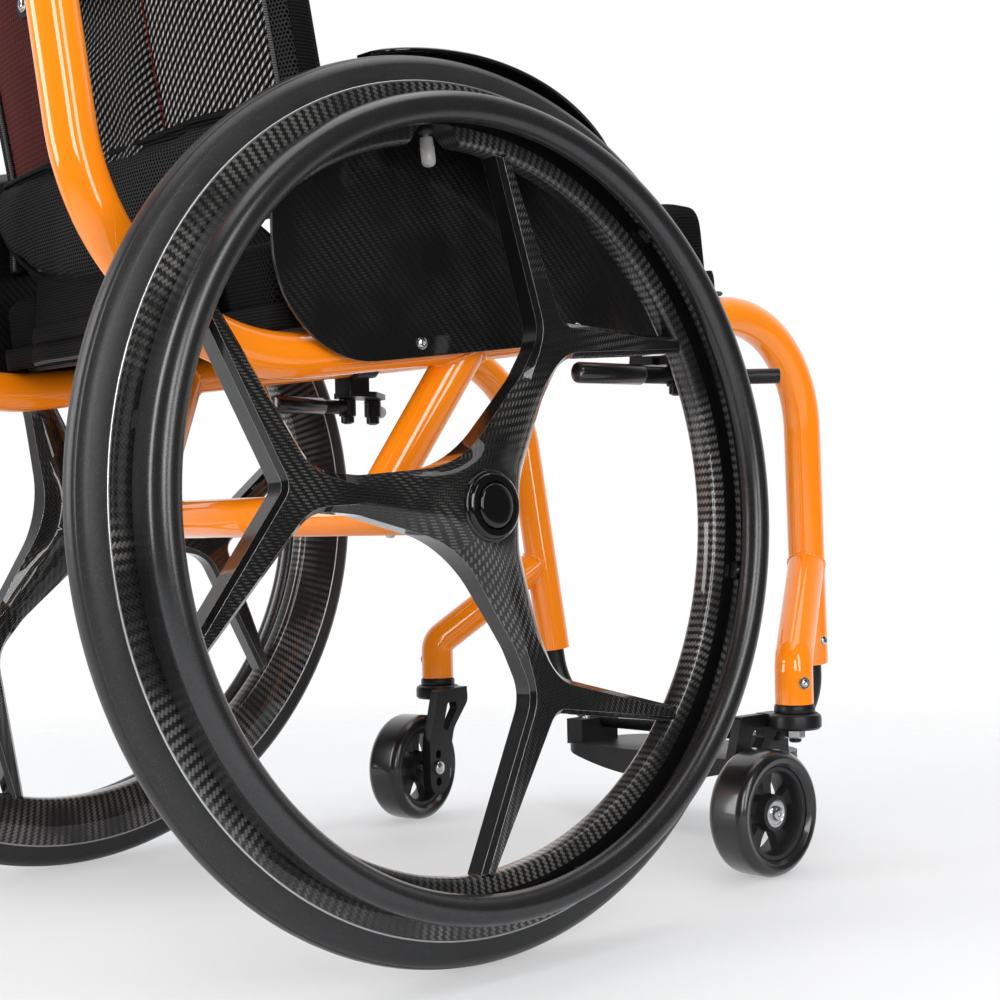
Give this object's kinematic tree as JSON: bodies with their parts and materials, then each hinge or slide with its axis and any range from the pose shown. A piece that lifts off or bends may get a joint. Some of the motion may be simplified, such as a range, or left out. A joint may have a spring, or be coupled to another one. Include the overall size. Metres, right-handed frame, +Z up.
{
  "type": "wheelchair",
  "caption": "Rigid ultralight wheelchair: cambered rear wheels with handrims, swivel casters, bent tube frame, side guards, mesh seat, low backrest and footplate.",
  "frame": {"origin": "on the floor, straight below the middle of the rear axle line", "axes": "+X forward, +Y to the user's left, +Z up"},
  "size_m": [0.851, 0.6056, 0.78],
  "materials": {
    "orange_paint": "gloss",
    "black_anodised": "satin anodised",
    "tyre_rubber": "matt",
    "caster_rubber": "matt",
    "carbon_fibre": "clear coated twill",
    "black_plastic": "satin",
    "bright_steel": "bright",
    "mesh_cloth": "spacer mesh"
  },
  "bodies": {
    "frame": {"left_side_tube": "orange_paint", "left_strut": "orange_paint", "left_caster_arm": "orange_paint", "left_upright_cap": "black_anodised", "left_side_guard": "carbon_fibre", "left_axle_pin": "bright_steel", "left_camber_plug": "black_anodised", "left_caster_stem": "black_anodised", "left_brake_clamp": "black_anodised", "left_bar_pivot": "black_anodised", "left_lever_pivot": "black_anodised", "right_side_tube": "orange_paint", "right_strut": "orange_paint", "right_caster_arm": "orange_paint", "right_upright_cap": "black_anodised", "right_side_guard": "carbon_fibre", "right_axle_pin": "bright_steel", "right_camber_plug": "black_anodised", "right_caster_stem": "black_anodised", "right_brake_clamp": "black_anodised", "right_bar_pivot": "black_anodised", "right_lever_pivot": "black_anodised", "foot_tube": "black_anodised", "axle_tube": "orange_paint", "footplate": "black_plastic", "seat_sling": "mesh_cloth", "seat_cushion": "mesh_cloth", "back_cover": "mesh_cloth", "back_shell": "carbon_fibre", "back_pad": "mesh_cloth", "back_bracket": "black_anodised"},
    "left_wheel": {"left_wheel_body": "carbon_fibre", "left_tyre": "tyre_rubber", "left_handrim": "black_anodised", "left_valve": "bright_steel", "left_wheel_bearing": "bright_steel"},
    "left_button": {"left_axle_button": "black_anodised"},
    "left_swivel": {"left_caster_fork": "black_anodised", "left_caster_nut": "bright_steel", "left_caster_axle": "bright_steel"},
    "left_caster": {"left_caster_hub": "black_plastic", "left_caster_tyre": "caster_rubber", "left_caster_bearing": "bright_steel"},
    "left_bar": {"left_brake_bar": "black_anodised"},
    "left_lever": {"left_brake_lever": "black_anodised"},
    "right_wheel": {"right_wheel_body": "carbon_fibre", "right_tyre": "tyre_rubber", "right_handrim": "black_anodised", "right_valve": "bright_steel", "right_wheel_bearing": "bright_steel"},
    "right_button": {"right_axle_button": "black_anodised"},
    "right_swivel": {"right_caster_fork": "black_anodised", "right_caster_nut": "bright_steel", "right_caster_axle": "bright_steel"},
    "right_caster": {"right_caster_hub": "black_plastic", "right_caster_tyre": "caster_rubber", "right_caster_bearing": "bright_steel"},
    "right_bar": {"right_brake_bar": "black_anodised"},
    "right_lever": {"right_brake_lever": "black_anodised"}
  },
  "joints": [
    {"name": "left_wheel_spin", "type": "hinge", "parent": "frame", "child": "left_wheel", "pos_m": [0, 0.25, 0.29485], "axis": [0, 0.9995, 0.0332], "continuous": true},
    {"name": "left_button_push", "type": "slide", "parent": "frame", "child": "left_button", "axis": [0, -0.9995, -0.0332], "range_m": [0, 0.0035], "stiffness_N_per_m": 300, "springref_m": -0.004},
    {"name": "left_caster_swivel", "type": "hinge", "parent": "frame", "child": "left_swivel", "pos_m": [0.382, 0.219, 0.13], "axis": [0, 0, 1], "continuous": true},
    {"name": "left_caster_spin", "type": "hinge", "parent": "left_swivel", "child": "left_caster", "pos_m": [0.33994, 0.21006, 0.05], "axis": [-0.2079, 0.9781, 0], "continuous": true},
    {"name": "left_lever_turn", "type": "hinge", "parent": "frame", "child": "left_lever", "pos_m": [0.263, 0.204, 0.395], "axis": [0, 0, 1], "range_deg": [0, 39.9]},
    {"name": "left_bar_turn", "type": "hinge", "parent": "frame", "child": "left_bar", "pos_m": [0.296, 0.207, 0.395], "axis": [0, 0, 1], "range_deg": [0, 62]},
    {"name": "right_wheel_spin", "type": "hinge", "parent": "frame", "child": "right_wheel", "pos_m": [0, -0.25, 0.29485], "axis": [0, 0.9995, -0.0332], "continuous": true},
    {"name": "right_button_push", "type": "slide", "parent": "frame", "child": "right_button", "axis": [0, 0.9995, -0.0332], "range_m": [0, 0.0035], "stiffness_N_per_m": 300, "springref_m": -0.004},
    {"name": "right_caster_swivel", "type": "hinge", "parent": "frame", "child": "right_swivel", "pos_m": [0.382, -0.219, 0.13], "axis": [0, 0, 1], "continuous": true},
    {"name": "right_caster_spin", "type": "hinge", "parent": "right_swivel", "child": "right_caster", "pos_m": [0.339, -0.219, 0.05], "axis": [0, 1, 0], "continuous": true},
    {"name": "right_lever_turn", "type": "hinge", "parent": "frame", "child": "right_lever", "pos_m": [0.263, -0.204, 0.395], "axis": [0, 0, -1], "range_deg": [0, 39.9]},
    {"name": "right_bar_turn", "type": "hinge", "parent": "frame", "child": "right_bar", "pos_m": [0.296, -0.207, 0.395], "axis": [0, 0, -1], "range_deg": [0, 62]}
  ],
  "couplings": [
    {"joint": "left_bar_turn", "follows": "left_lever_turn", "ratio": 1.55},
    {"joint": "right_bar_turn", "follows": "right_lever_turn", "ratio": 1.55}
  ]
}
